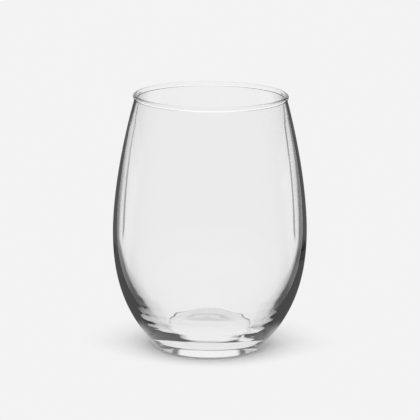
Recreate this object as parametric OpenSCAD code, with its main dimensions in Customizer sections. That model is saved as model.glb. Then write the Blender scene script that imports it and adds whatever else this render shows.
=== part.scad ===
// Stemless wine glass: one piece of clear glass, a solid of revolution about Z.
// The origin is the middle of the ring that the glass stands on, and +Z is up.

/* [Bowl] */
// Height from the standing surface to the top of the rim
height = 115; // [95:1:140]
// Outer diameter of the rim, across its rounded bead
rim_d = 69.2; // [60:0.2:76]
// Outer diameter at the widest point
widest_d = 87.2; // [80:0.2:100]
// Height of the widest point
widest_z = 52; // [44:1:62]
// Angle that the wall leans inwards under the rim, in degrees
rim_lean = 16; // [8:1:22]

/* [Wall] */
// Diameter of the bead that rounds the rim
bead_d = 2.2; // [1.6:0.1:3]
// Thickness of the wall under the bead
neck_t = 1.2; // [1:0.1:1.5]
// Thickness of the wall at the widest point
wall_t = 2.2; // [1.6:0.1:3.4]

/* [Base] */
// Outer diameter of the flat ring that the glass stands on
foot_d = 46.6; // [40:0.2:54]
// Width of that ring
ring_w = 7; // [3:0.2:9]
// Radius of the rounded heel between the ring and the wall
heel_r = 2; // [1:0.1:3]
// Angle that the wall leans outwards above the heel, in degrees
heel_lean = 40; // [30:1:48]
// Diameter of the flat floor inside the bowl
floor_d = 37; // [24:0.2:42]
// Thickness of the glass in the middle of the base
base_t = 5.3; // [3:0.1:9]
// Depth of the hollow under the base
hollow_h = 0.5; // [0.3:0.1:1.6]

/* [Hidden] */

// Steps along each curve of the profile, and around the glass
curve_steps = 24;
$fn = 96;

glass_colour = [0.86, 0.91, 0.91];
glass_alpha = 0.45;

// How far each end of a curve runs along its own direction, as a share of the curve's height
neck_pull_share = 0.33;
shoulder_pull_share = 0.28;
belly_pull_share = 0.56;
heel_pull_share = 0.25;
inner_belly_pull_share = 0.6;
// The same for the curve's end at the flat floor, as a share of the run from there out to the wall
floor_pull_share = 0.15;

// Radii and heights where the curves meet
widest_r = widest_d / 2;
foot_r = foot_d / 2;
floor_r = floor_d / 2;
bead_r = bead_d / 2;
bead_x = rim_d / 2 - bead_r;
bead_z = height - bead_r;
neck_in_r = bead_x - bead_r;
neck_out_r = neck_in_r + neck_t;
widest_in_r = widest_r - wall_t;
floor_z = hollow_h + base_t;
heel_x = foot_r + heel_r * cos(heel_lean);
heel_z = heel_r - heel_r * sin(heel_lean);

// The hollow under the base is a cap of this sphere
hollow_r = foot_r - ring_w;
hollow_ball_r = (hollow_r * hollow_r + hollow_h * hollow_h) / (2 * hollow_h);

shoulder_h = bead_z - widest_z;
belly_h = widest_z - heel_z;
inner_belly_h = widest_z - floor_z;

function curve_point(a, b, c, d, t) =
    pow(1 - t, 3) * a + 3 * pow(1 - t, 2) * t * b + 3 * (1 - t) * t * t * c + pow(t, 3) * d;

// A cubic curve from a to d, without its first point, that leaves a towards b and reaches d from c
function curve(a, b, c, d) = [for (i = [1 : curve_steps]) curve_point(a, b, c, d, i / curve_steps)];

// The points where a curve's ends pull, straight above or below the widest point or along a lean
function above(p, run) = [p[0], p[1] + run];
function along(p, lean, run) = [p[0] + run * sin(lean), p[1] + run * cos(lean)];

heel = [heel_x, heel_z];
widest = [widest_r, widest_z];
neck_out = [neck_out_r, bead_z];
neck_in = [neck_in_r, bead_z];
widest_in = [widest_in_r, widest_z];
floor_edge = [floor_r, floor_z];

// Outside, from the heel up to the neck
belly = curve(
    heel,
    along(heel, heel_lean, heel_pull_share * belly_h),
    above(widest, -belly_pull_share * belly_h),
    widest
);
shoulder = curve(
    widest,
    above(widest, shoulder_pull_share * shoulder_h),
    along(neck_out, -rim_lean, -neck_pull_share * shoulder_h),
    neck_out
);

// Inside, from the neck down to the edge of the bowl's flat floor
inner_shoulder = curve(
    neck_in,
    along(neck_in, -rim_lean, -neck_pull_share * shoulder_h),
    above(widest_in, shoulder_pull_share * shoulder_h),
    widest_in
);
inner_belly = curve(
    widest_in,
    above(widest_in, -inner_belly_pull_share * inner_belly_h),
    [floor_r + floor_pull_share * (widest_in_r - floor_r), floor_z],
    floor_edge
);

module wall_section() {
    polygon(concat(
        [[0, 0], [foot_r, 0], heel],
        belly,
        shoulder,
        [neck_in],
        inner_shoulder,
        inner_belly,
        [[0, floor_z]]
    ));
}

module heel_section() {
    translate([foot_r, heel_r]) circle(r = heel_r);
}

module bead_section() {
    translate([bead_x, bead_z]) circle(r = bead_r);
}

module hollow_section() {
    translate([0, hollow_h - hollow_ball_r]) circle(r = hollow_ball_r);
}

module glass_body() {
    color(glass_colour, glass_alpha)
    rotate_extrude()
    difference() {
        union() {
            wall_section();
            heel_section();
            bead_section();
        }
        hollow_section();
    }
}

glass_body();
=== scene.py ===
"""Looks of the stemless wine glass: one lathe-turned glass on a pale floor.

Lengths are in metres, in the CAD's frame.
"""

import math

import bpy
import numpy as np
from mathutils import Matrix, Vector

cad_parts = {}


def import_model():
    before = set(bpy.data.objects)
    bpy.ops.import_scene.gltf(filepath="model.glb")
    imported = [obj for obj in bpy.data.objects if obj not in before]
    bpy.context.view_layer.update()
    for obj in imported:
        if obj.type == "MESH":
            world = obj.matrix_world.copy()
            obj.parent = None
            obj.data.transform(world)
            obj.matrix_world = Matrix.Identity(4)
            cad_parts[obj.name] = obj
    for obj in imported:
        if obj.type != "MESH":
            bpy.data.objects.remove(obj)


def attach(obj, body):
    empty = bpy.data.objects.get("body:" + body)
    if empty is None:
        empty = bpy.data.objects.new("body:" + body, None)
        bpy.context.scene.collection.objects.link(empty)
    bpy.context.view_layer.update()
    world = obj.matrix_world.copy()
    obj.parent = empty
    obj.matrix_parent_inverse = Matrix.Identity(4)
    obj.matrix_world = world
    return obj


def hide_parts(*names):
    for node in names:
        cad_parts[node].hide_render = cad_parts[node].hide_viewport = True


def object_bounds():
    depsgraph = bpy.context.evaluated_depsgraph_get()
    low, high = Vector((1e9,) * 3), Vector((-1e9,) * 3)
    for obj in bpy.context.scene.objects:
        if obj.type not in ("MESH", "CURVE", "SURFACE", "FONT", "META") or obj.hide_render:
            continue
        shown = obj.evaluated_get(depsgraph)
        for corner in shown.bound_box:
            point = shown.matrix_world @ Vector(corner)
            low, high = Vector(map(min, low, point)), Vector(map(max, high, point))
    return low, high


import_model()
CAD_LOW, CAD_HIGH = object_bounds()

MM = 0.001

# The bowl, as the CAD has it
HEIGHT = CAD_HIGH.z
WIDEST_R = 43.6 * MM
WIDEST_Z = 52 * MM
RIM_R = 34.6 * MM
RIM_LEAN = math.radians(16)
BEAD_R = 1.1 * MM
NECK_T = 1.2 * MM
WALL_T = 2.2 * MM
FOOT_R = 23.3 * MM
RING_W = 7 * MM
HEEL_R = 2 * MM
HEEL_LEAN = math.radians(40)
FLOOR_R = 18.5 * MM
BASE_T = 5.3 * MM
HOLLOW_H = 0.5 * MM

# How far the ends of each curve pull, as shares of its height or of the inner radius
NECK_PULL = 0.33
SHOULDER_PULL = 0.28
BELLY_PULL = 0.56
HEEL_PULL = 0.25
INNER_BELLY_PULL = 0.6
FLOOR_PULL = 0.15

# How finely the glass is turned: points on a curve and on an arc, points around, the outline's steps
# while it is polished, and its longest step and sharpest bend in the mesh
CURVE_STEPS = 60
ARC_STEPS = 40
AROUND = 224
FINE_STEP = 0.08 * MM
LONG_STEP = 1.3 * MM
MOST_TURN = math.radians(5)

# How far fire polishing spreads a crease, and where that is cut off, in spreads
POLISH = 0.22 * MM
POLISH_REACH = 4
# Points of the outline that lie closer than this are one point
SAME_POINT = 1e-9

# Waves of the inside, from drawing: count around, twist over the height, depth, start
DRAW_WAVES = [
    (5, 0.15, 0.08 * MM, 0.05),
    (9, -0.1, 0.04 * MM, 0.3),
    (23, 0.4, 0.01 * MM, 0.1),
]
# From settling, strongest near the floor and none above SETTLE_TOP: length, count around, sway, depth, start
SETTLE_WAVES = [
    (13 * MM, 3, 1.5, 0.05 * MM, 0.2),
    (3.6 * MM, 1, 0.7, 0.04 * MM, 0.6),
]
SETTLE_TOP = 34 * MM
# Over what height below the rim, and what radius from the middle, the waves grow to their full depth,
# and the share of that height below the rim that stays even
RIPPLE_FADE = 8 * MM
RIM_EVEN_SHARE = 0.5

# The glass: its faint tint and how strongly depth brings it out, and the fine unevenness of its surface
GLASS_IOR = 1.52
GLASS_TINT = (0.9, 0.93, 0.92, 1)
TINT_DENSITY = 2.5
PEEL_SCALE = 220
PEEL_DETAIL = 1
PEEL_DEPTH = 0.004 * MM
PEEL_STRENGTH = 0.2

# The photograph's camera
CAMERA_AWAY = 9 * HEIGHT
CAMERA_DIP = math.radians(13.04)
CAMERA_ROLL = math.radians(0.45)
LENS = 197.4
SENSOR = 36
AIM_Z = 62.2 * MM
CLIP_NEAR = 0.01
CLIP_FAR = 50
# How many times a ray may be bent or mirrored
RAY_TURNS = 24

# The pale grey of the photograph's background, and the power that gathers the floor's light overhead
PALE = 0.896
LIGHT_FROM_ABOVE = 4

# Sectors are a middle, a half-width and a soft edge in degrees, turned from +X towards +Y.
# The photograph's camera looks towards BEHIND. Heights of a ray are the Z of its direction.
BEHIND = 90

# How often the glass has mirrored a ray, or let it cross a surface, decides which levels it sees:
# see room()
ONCE_TURNS = 1
FAR_TURNS = 2
DEEP_TURNS = 4
NEAR_CROSSINGS = 2

# The levels of the room that the glass mirrors: its grey, what the far wall mirrors of it, its dim side,
# its lit screens and ceiling, and what many turns leave
STUDIO_GREY = 0.5
STUDIO_HIGH = 0.72
STUDIO_DIM = 0.07
STUDIO_SCREEN = 0.9
STUDIO_DEEP = 0.06
# The screens, of which a ray mirrored once sees the first alone
SCREENS = [(BEHIND, 21, 5), (135, 12, 5), (180, 12, 5), (315, 12, 5)]
# The dim sector behind the glass. On the floor it widens towards the glass, by this many times the
# angle that the glass's radius fills from there
BACKDROPS = [(BEHIND, 29, 3)]
BACKDROP_ASIDE = 1.6
# The ceiling's edge, as heights of a ray
CEILING_FROM = 0.62
CEILING_TO = 0.72
# The brighter light that rays see which the glass has bent upward, and the heights between which it grows
CANOPY = 1.08
CANOPY_FROM = 0.12
CANOPY_TO = 0.3

# The table that the glass mirrors: lit up to one radius, and from the next one on dim behind the glass,
# bright to both sides of that and grey in front. Rays mirrored more than once see it dim all round.
TABLE_LIT = 0.8
TABLE_LIT_R = 34 * MM
TABLE_DIM_R = 46 * MM
TABLE_DIM = 0.09
TABLE_SIDES = [(BEHIND, 75, 10)]
TABLE_SIDE = 0.85
# A thin dark edge on the floor, to both sides of BEHIND, that only rays which the glass has bent see. It
# draws the fine line in each side band: its angle, half its width and its softness in degrees, its level,
# and the radii between which it grows
SHEET_EDGE = 10.3
SHEET_EDGE_W = 1.7
SHEET_EDGE_SOFT = 0.5
SHEET_EDGE_DARK = 0.12
SHEET_FROM_R = 170 * MM
SHEET_FULL_R = 215 * MM

# The even glow, painted light on the floor that hides the shadow away from the foot: the radii between
# which it grows, the power with which it does, and how much faster it grows in front of the glass
SHADOW_FROM_R = 24.5 * MM
SHADOW_TO_R = 60 * MM
SHADOW_POWER = 0.6
FRONT_CLEAR = 1.5
# The floor's side, and how far it lies below the glass
FLOOR_SIZE = 20
FLOOR_GAP = 0.05 * MM


def cubic(a, b, c, d, steps=CURVE_STEPS):
    """Points on a cubic curve from a to d that leaves a towards b and reaches d from c."""
    t = np.linspace(0, 1, steps + 1)[:, None]
    a, b, c, d = (np.array(p, float) for p in (a, b, c, d))
    return (1 - t) ** 3 * a + 3 * (1 - t) ** 2 * t * b + 3 * (1 - t) * t ** 2 * c + t ** 3 * d


def arc(x, z, radius, start, end, steps=ARC_STEPS):
    """Points on an arc about (x, z), with angles in radians from +X."""
    t = np.linspace(start, end, steps + 1)
    return np.stack([x + radius * np.cos(t), z + radius * np.sin(t)], 1)


def beyond(points, centre, radius):
    """The points that lie further than radius from centre."""
    return points[np.hypot(*(points - centre).T) > radius]


def section():
    """The glass's outline, from the middle of the hollow underneath up the outside and down to the floor."""
    bead_x, bead_z = RIM_R - BEAD_R, HEIGHT - BEAD_R
    neck_in = bead_x - BEAD_R
    neck_out = neck_in + NECK_T
    shoulder = bead_z - WIDEST_Z
    heel = (FOOT_R + HEEL_R * math.cos(HEEL_LEAN), HEEL_R - HEEL_R * math.sin(HEEL_LEAN))
    belly = WIDEST_Z - heel[1]
    floor_z = HOLLOW_H + BASE_T
    inner_r = WIDEST_R - WALL_T
    inner_belly = WIDEST_Z - floor_z
    hollow_r = FOOT_R - RING_W
    ball_r = (hollow_r ** 2 + HOLLOW_H ** 2) / (2 * HOLLOW_H)
    ball_end = math.asin(hollow_r / ball_r)

    under = arc(0, HOLLOW_H - ball_r, ball_r, math.pi / 2, math.pi / 2 - ball_end)
    heel_arc = arc(FOOT_R, HEEL_R, HEEL_R, -math.pi / 2, -HEEL_LEAN)
    outer_belly = cubic(
        heel,
        (
            heel[0] + HEEL_PULL * belly * math.sin(HEEL_LEAN),
            heel[1] + HEEL_PULL * belly * math.cos(HEEL_LEAN),
        ),
        (WIDEST_R, WIDEST_Z - BELLY_PULL * belly),
        (WIDEST_R, WIDEST_Z),
    )
    neck_pull = NECK_PULL * shoulder
    lean = (neck_pull * math.sin(RIM_LEAN), -neck_pull * math.cos(RIM_LEAN))
    outer_shoulder = cubic(
        (WIDEST_R, WIDEST_Z),
        (WIDEST_R, WIDEST_Z + SHOULDER_PULL * shoulder),
        (neck_out + lean[0], bead_z + lean[1]),
        (neck_out, bead_z),
    )
    inner_shoulder = cubic(
        (neck_in, bead_z),
        (neck_in + lean[0], bead_z + lean[1]),
        (inner_r, WIDEST_Z + SHOULDER_PULL * shoulder),
        (inner_r, WIDEST_Z),
    )
    floor = cubic(
        (inner_r, WIDEST_Z),
        (inner_r, WIDEST_Z - INNER_BELLY_PULL * inner_belly),
        (FLOOR_R + FLOOR_PULL * (inner_r - FLOOR_R), floor_z),
        (FLOOR_R, floor_z),
    )
    centre = np.array([bead_x, bead_z])
    outside = beyond(outer_shoulder, centre, BEAD_R)
    inside = beyond(inner_shoulder, centre, BEAD_R)
    start = math.atan2(outside[-1][1] - bead_z, outside[-1][0] - bead_x)
    end = math.atan2(inside[0][1] - bead_z, inside[0][0] - bead_x)
    bead = arc(bead_x, bead_z, BEAD_R, start, end + 2 * math.pi)
    middle = [(0, floor_z)]
    return np.concatenate([under, heel_arc, outer_belly[1:], outside[1:], bead, inside, floor[1:], middle])


def polished(outline):
    """The outline with its creases rounded, as fire polishing does, and most points where it bends most."""
    gaps = np.hypot(*np.diff(outline, axis=0).T)
    keep = np.append(True, gaps > SAME_POINT)
    outline = outline[keep]
    run = np.append(0, np.cumsum(np.hypot(*np.diff(outline, axis=0).T)))
    s = np.arange(0, run[-1], FINE_STEP)
    fine = np.stack([np.interp(s, run, outline[:, k]) for k in (0, 1)], 1)
    reach = int(POLISH_REACH * POLISH / FINE_STEP)
    weights = np.exp(-0.5 * (np.arange(-reach, reach + 1) * FINE_STEP / POLISH) ** 2)
    weights /= weights.sum()
    mirror = np.array([-1, 1])
    padded = np.concatenate([fine[reach:0:-1] * mirror, fine, fine[-2:-reach - 2:-1] * mirror])
    smooth = np.stack([np.convolve(padded[:, k], weights, "valid") for k in (0, 1)], 1)
    heading = np.unwrap(np.arctan2(*np.diff(smooth, axis=0).T[::-1]))
    turn = np.append(0, np.abs(np.diff(heading)))
    budget = np.append(0, np.cumsum(turn / MOST_TURN + FINE_STEP / LONG_STEP))
    count = int(math.ceil(budget[-1]))
    marks = np.linspace(0, budget[-1], count + 1)
    points = np.stack([np.interp(marks, budget, smooth[:, k]) for k in (0, 1)], 1)
    points[0, 0] = points[-1, 0] = 0
    return points


def ripple(r, z, angle):
    """How far the inside stands in from its even curve, as the mould shapes only the outside."""
    around = sum(
        depth * np.cos(count * angle + 2 * math.pi * (twist * z / HEIGHT + start))
        for count, twist, depth, start in DRAW_WAVES
    )
    settled = sum(
        depth * np.cos(2 * math.pi * (z / length + start) + sway * np.cos(count * angle))
        for length, count, sway, depth, start in SETTLE_WAVES
    )
    low = np.clip((SETTLE_TOP - z) / SETTLE_TOP, 0, 1)
    fade = np.clip((HEIGHT - z) / RIPPLE_FADE - RIM_EVEN_SHARE, 0, 1) * np.clip(r / RIPPLE_FADE, 0, 1)
    return (around + settled * low) * fade


def turned(points, name):
    """A closed mesh of the outline turned about Z, with a pole at each end and ripples inside."""
    rings = points[1:-1]
    angle = np.linspace(0, 2 * math.pi, AROUND, endpoint=False)
    r = np.repeat(rings[:, :1], AROUND, 1)
    z = np.repeat(rings[:, 1:], AROUND, 1)
    inside = np.arange(len(rings)) > np.argmax(rings[:, 1])
    r = r - np.where(inside[:, None], ripple(r, z, angle), 0)
    grid = np.stack([r * np.cos(angle), r * np.sin(angle), z], 2).reshape(-1, 3)
    verts = np.concatenate([grid, [[0, 0, points[0, 1]], [0, 0, points[-1, 1]]]])
    bottom, top = len(grid), len(grid) + 1
    last = (len(rings) - 1) * AROUND
    faces = []
    for j in range(AROUND):
        k = (j + 1) % AROUND
        faces.append((bottom, k, j))
        faces.append((top, last + j, last + k))
        for low in range(0, last, AROUND):
            high = low + AROUND
            faces.append((low + j, low + k, high + k, high + j))
    mesh = bpy.data.meshes.new(name)
    mesh.from_pydata(verts.tolist(), [], faces)
    mesh.polygons.foreach_set("use_smooth", [True] * len(mesh.polygons))
    mesh.update()
    piece = bpy.data.objects.new(name, mesh)
    bpy.context.scene.collection.objects.link(piece)
    return piece


def camera():
    """The photograph's camera, with rays that last through thick glass."""
    cycles = bpy.context.scene.cycles
    cycles.max_bounces = RAY_TURNS
    cycles.glossy_bounces = RAY_TURNS
    cycles.transmission_bounces = RAY_TURNS
    data = bpy.data.cameras.new("camera")
    data.lens = LENS
    data.sensor_width = SENSOR
    data.clip_start = CLIP_NEAR
    data.clip_end = CLIP_FAR
    eye = bpy.data.objects.new("camera", data)
    bpy.context.scene.collection.objects.link(eye)
    middle = HEIGHT / 2
    eye.location = (
        0,
        -CAMERA_AWAY * math.cos(CAMERA_DIP),
        middle + CAMERA_AWAY * math.sin(CAMERA_DIP),
    )
    aim = Vector((0, 0, AIM_Z)) - eye.location
    turn = aim.to_track_quat("-Z", "Y").to_matrix() @ Matrix.Rotation(CAMERA_ROLL, 3, "Z")
    eye.rotation_euler = turn.to_euler()
    bpy.context.scene.camera = eye


class Nodes:
    """Short calls that add and join nodes in one node tree."""

    def __init__(self, tree):
        self.tree = tree
        tree.nodes.clear()

    def add(self, kind, **settings):
        """A new node with these settings."""
        node = self.tree.nodes.new(kind)
        for name, value in settings.items():
            setattr(node, name, value)
        return node

    def join(self, value, socket):
        """Links a socket, or sets a number or colour, as the value of a socket."""
        if isinstance(value, bpy.types.NodeSocket):
            self.tree.links.new(value, socket)
        else:
            socket.default_value = value

    def math(self, operation, *values, clamp=False):
        """The result of one sum or comparison, kept between 0 and 1 if clamp is set."""
        node = self.add("ShaderNodeMath", operation=operation, use_clamp=clamp)
        for value, socket in zip(values, node.inputs):
            self.join(value, socket)
        return node.outputs[0]

    def over(self, count, limit):
        """1 where a whole number is over limit, and 0 elsewhere."""
        return self.math("GREATER_THAN", count, limit + 0.5)

    def step(self, value, low, high):
        """0 below low and 1 above high, smooth between."""
        node = self.add("ShaderNodeMapRange", interpolation_type="SMOOTHSTEP")
        for name, number in (("Value", value), ("From Min", low), ("From Max", high)):
            self.join(number, node.inputs[name])
        return node.outputs[0]

    def blend(self, share, low, high):
        """Low where share is 0 and high where it is 1."""
        node = self.add("ShaderNodeMix", data_type="FLOAT")
        for name, number in (("Factor", share), ("A", low), ("B", high)):
            self.join(number, node.inputs[name])
        return node.outputs[0]

    def parts(self, vector):
        """The X, Y and Z of a vector."""
        node = self.add("ShaderNodeSeparateXYZ")
        self.join(vector, node.inputs[0])
        return node.outputs

    def grey(self, value):
        """A colour with this value in each channel."""
        node = self.add("ShaderNodeCombineColor")
        for socket in node.inputs:
            self.join(value, socket)
        return node.outputs[0]


def glass_material():
    """Clear soda-lime glass, with a faint tint in its depth and a barely uneven surface."""
    material = bpy.data.materials.new("clear_glass")
    material.use_nodes = True
    n = Nodes(material.node_tree)
    shader = n.add("ShaderNodeBsdfPrincipled")
    shader.inputs["Base Color"].default_value = (1, 1, 1, 1)
    shader.inputs["Transmission Weight"].default_value = 1
    shader.inputs["Roughness"].default_value = 0
    shader.inputs["IOR"].default_value = GLASS_IOR
    peel = n.add("ShaderNodeTexNoise")
    n.join(n.add("ShaderNodeTexCoord").outputs["Object"], peel.inputs["Vector"])
    peel.inputs["Scale"].default_value = PEEL_SCALE
    peel.inputs["Detail"].default_value = PEEL_DETAIL
    bump = n.add("ShaderNodeBump")
    bump.inputs["Strength"].default_value = PEEL_STRENGTH
    bump.inputs["Distance"].default_value = PEEL_DEPTH
    n.join(peel.outputs["Fac"], bump.inputs["Height"])
    n.join(bump.outputs["Normal"], shader.inputs["Normal"])
    depth = n.add("ShaderNodeVolumeAbsorption")
    depth.inputs["Color"].default_value = GLASS_TINT
    depth.inputs["Density"].default_value = TINT_DENSITY
    output = n.add("ShaderNodeOutputMaterial")
    n.join(shader.outputs[0], output.inputs["Surface"])
    n.join(depth.outputs[0], output.inputs["Volume"])
    return material


def room(n, once, often, far, through):
    """The level that a ray meets, by how often the glass has mirrored it and let it cross a surface.

    A ray that was never mirrored meets through. Up to NEAR_CROSSINGS, mostly at the near wall, one
    mirrored up to ONCE_TURNS times meets once and any other often. Further on it meets far, or
    STUDIO_DEEP over FAR_TURNS. Over DEEP_TURNS it meets STUDIO_DEEP anywhere.
    """
    path = n.add("ShaderNodeLightPath")
    crossed = path.outputs["Transmission Depth"]
    turns = path.outputs["Glossy Depth"]
    near = n.blend(n.over(turns, ONCE_TURNS), once, often)
    further = n.blend(n.over(turns, FAR_TURNS), far, STUDIO_DEEP)
    level = n.blend(n.over(crossed, NEAR_CROSSINGS), near, further)
    level = n.blend(n.over(turns, DEEP_TURNS), level, STUDIO_DEEP)
    return n.blend(n.over(turns, 0), through, level)


def seen_by_glass(n):
    """1 for what the camera sees by way of the glass, and 0 for the light that falls on the floor."""
    path = n.add("ShaderNodeLightPath")
    by_glass = n.math("MAXIMUM", path.outputs["Is Glossy Ray"], path.outputs["Is Transmission Ray"])
    unscattered = n.math("SUBTRACT", 1, n.over(path.outputs["Diffuse Depth"], 0))
    return n.math("MULTIPLY", by_glass, unscattered)


def towards(n, x, y, sectors, aside=0):
    """1 where (x, y) points into a sector, widened by aside in radians, and 0 past its soft edge."""
    angle = n.math("ARCTAN2", y, x)
    shown = 0
    for middle, reach, edge in sectors:
        off = n.math("WRAP", n.math("SUBTRACT", angle, math.radians(middle)), math.pi, -math.pi)
        off = n.math("SUBTRACT", n.math("ABSOLUTE", off), aside)
        inside = n.math("SUBTRACT", 1, n.step(off, math.radians(reach), math.radians(reach + edge)))
        shown = n.math("MAXIMUM", shown, inside)
    return shown


def world():
    """The plain pale surround, with more light from above.

    Rays that the glass has mirrored once see it as a grey room with a dim sector, a screen and a
    ceiling, and those mirrored more often as a dim one with all the screens.
    """
    surround = bpy.data.worlds.new("studio")
    bpy.context.scene.world = surround
    surround.use_nodes = True
    n = Nodes(surround.node_tree)
    path = n.add("ShaderNodeLightPath")
    x, y, z = n.parts(n.add("ShaderNodeTexCoord").outputs["Generated"])
    ceiling = n.step(z, CEILING_FROM, CEILING_TO)
    backdrop = n.blend(towards(n, x, y, BACKDROPS), STUDIO_GREY, STUDIO_DIM)
    once = n.blend(n.math("MAXIMUM", towards(n, x, y, SCREENS[:1]), ceiling), backdrop, STUDIO_SCREEN)
    often = n.blend(n.math("MAXIMUM", towards(n, x, y, SCREENS), ceiling), STUDIO_DIM, STUDIO_SCREEN)
    through = n.blend(n.step(z, CANOPY_FROM, CANOPY_TO), PALE, CANOPY)
    seen = room(n, once, often, STUDIO_HIGH, through)
    up = n.math("MAXIMUM", z, 0)
    light = n.math("MULTIPLY", n.math("POWER", up, LIGHT_FROM_ABOVE), 1 + LIGHT_FROM_ABOVE / 2)
    level = n.blend(seen_by_glass(n), light, seen)
    level = n.blend(path.outputs["Is Camera Ray"], level, PALE)
    background = n.add("ShaderNodeBackground")
    n.join(n.grey(level), background.inputs["Color"])
    output = n.add("ShaderNodeOutputWorld")
    n.join(background.outputs[0], output.inputs["Surface"])


def floor():
    """The pale surface that the glass stands on.

    The camera sees the glass's shadow on it, which an even glow of painted light hides away from the foot.
    Rays that the glass has mirrored see it as a table, and rays that it has only bent as pale, but for
    the thin dark edge.
    """
    bpy.ops.mesh.primitive_plane_add(size=FLOOR_SIZE, location=(0, 0, -FLOOR_GAP))
    plane = bpy.context.object
    plane.name = "floor"
    material = bpy.data.materials.new("floor")
    material.use_nodes = True
    n = Nodes(material.node_tree)
    path = n.add("ShaderNodeLightPath")
    x, y, _ = n.parts(n.add("ShaderNodeTexCoord").outputs["Object"])
    away = n.math("SQRT", n.math("ADD", n.math("MULTIPLY", x, x), n.math("MULTIPLY", y, y)))
    aside = n.math("DIVIDE", WIDEST_R, n.math("MAXIMUM", away, WIDEST_R))
    sides = n.blend(towards(n, x, y, TABLE_SIDES), STUDIO_GREY, TABLE_SIDE)
    widened = n.math("MULTIPLY", aside, BACKDROP_ASIDE)
    table = n.blend(towards(n, x, y, BACKDROPS, widened), sides, TABLE_DIM)
    outside = n.step(away, TABLE_LIT_R, TABLE_DIM_R)
    once = n.blend(outside, TABLE_LIT, table)
    often = n.blend(outside, TABLE_LIT, TABLE_DIM)
    inner = [(BEHIND, SHEET_EDGE - SHEET_EDGE_W, SHEET_EDGE_SOFT)]
    outer = [(BEHIND, SHEET_EDGE + SHEET_EDGE_W, SHEET_EDGE_SOFT)]
    edge = n.math("SUBTRACT", towards(n, x, y, outer, aside), towards(n, x, y, inner, aside))
    shown = n.math("MULTIPLY", edge, n.step(away, SHEET_FROM_R, SHEET_FULL_R))
    through = n.blend(shown, PALE, SHEET_EDGE_DARK)
    glow = n.add("ShaderNodeEmission")
    glass_sees = room(n, once, often, STUDIO_GREY, through)
    n.join(n.grey(n.blend(path.outputs["Is Camera Ray"], glass_sees, PALE)), glow.inputs["Color"])
    matt = n.add("ShaderNodeBsdfDiffuse")
    matt.inputs["Color"].default_value = (PALE, PALE, PALE, 1)
    # Painted light: the share of the even glow that camera rays see instead of the shaded floor, growing
    # away from the foot
    front = n.math("MAXIMUM", n.math("DIVIDE", n.math("MULTIPLY", y, -FRONT_CLEAR), away), 0)
    clear = n.math("DIVIDE", n.math("SUBTRACT", away, SHADOW_FROM_R), SHADOW_TO_R - SHADOW_FROM_R)
    clear = n.math("MULTIPLY", clear, n.math("ADD", front, 1), clamp=True)
    bright = n.math("MULTIPLY", n.math("POWER", clear, SHADOW_POWER), path.outputs["Is Camera Ray"])
    both = n.add("ShaderNodeMixShader")
    n.join(n.math("MAXIMUM", seen_by_glass(n), bright), both.inputs[0])
    n.join(matt.outputs[0], both.inputs[1])
    n.join(glow.outputs[0], both.inputs[2])
    output = n.add("ShaderNodeOutputMaterial")
    n.join(both.outputs[0], output.inputs["Surface"])
    plane.data.materials.append(material)


glass = turned(polished(section()), "glass")
glass.data.materials.append(glass_material())
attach(glass, "root")
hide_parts("glass_body")

camera()
world()
floor()
bpy.context.scene.view_settings.view_transform = "Standard"
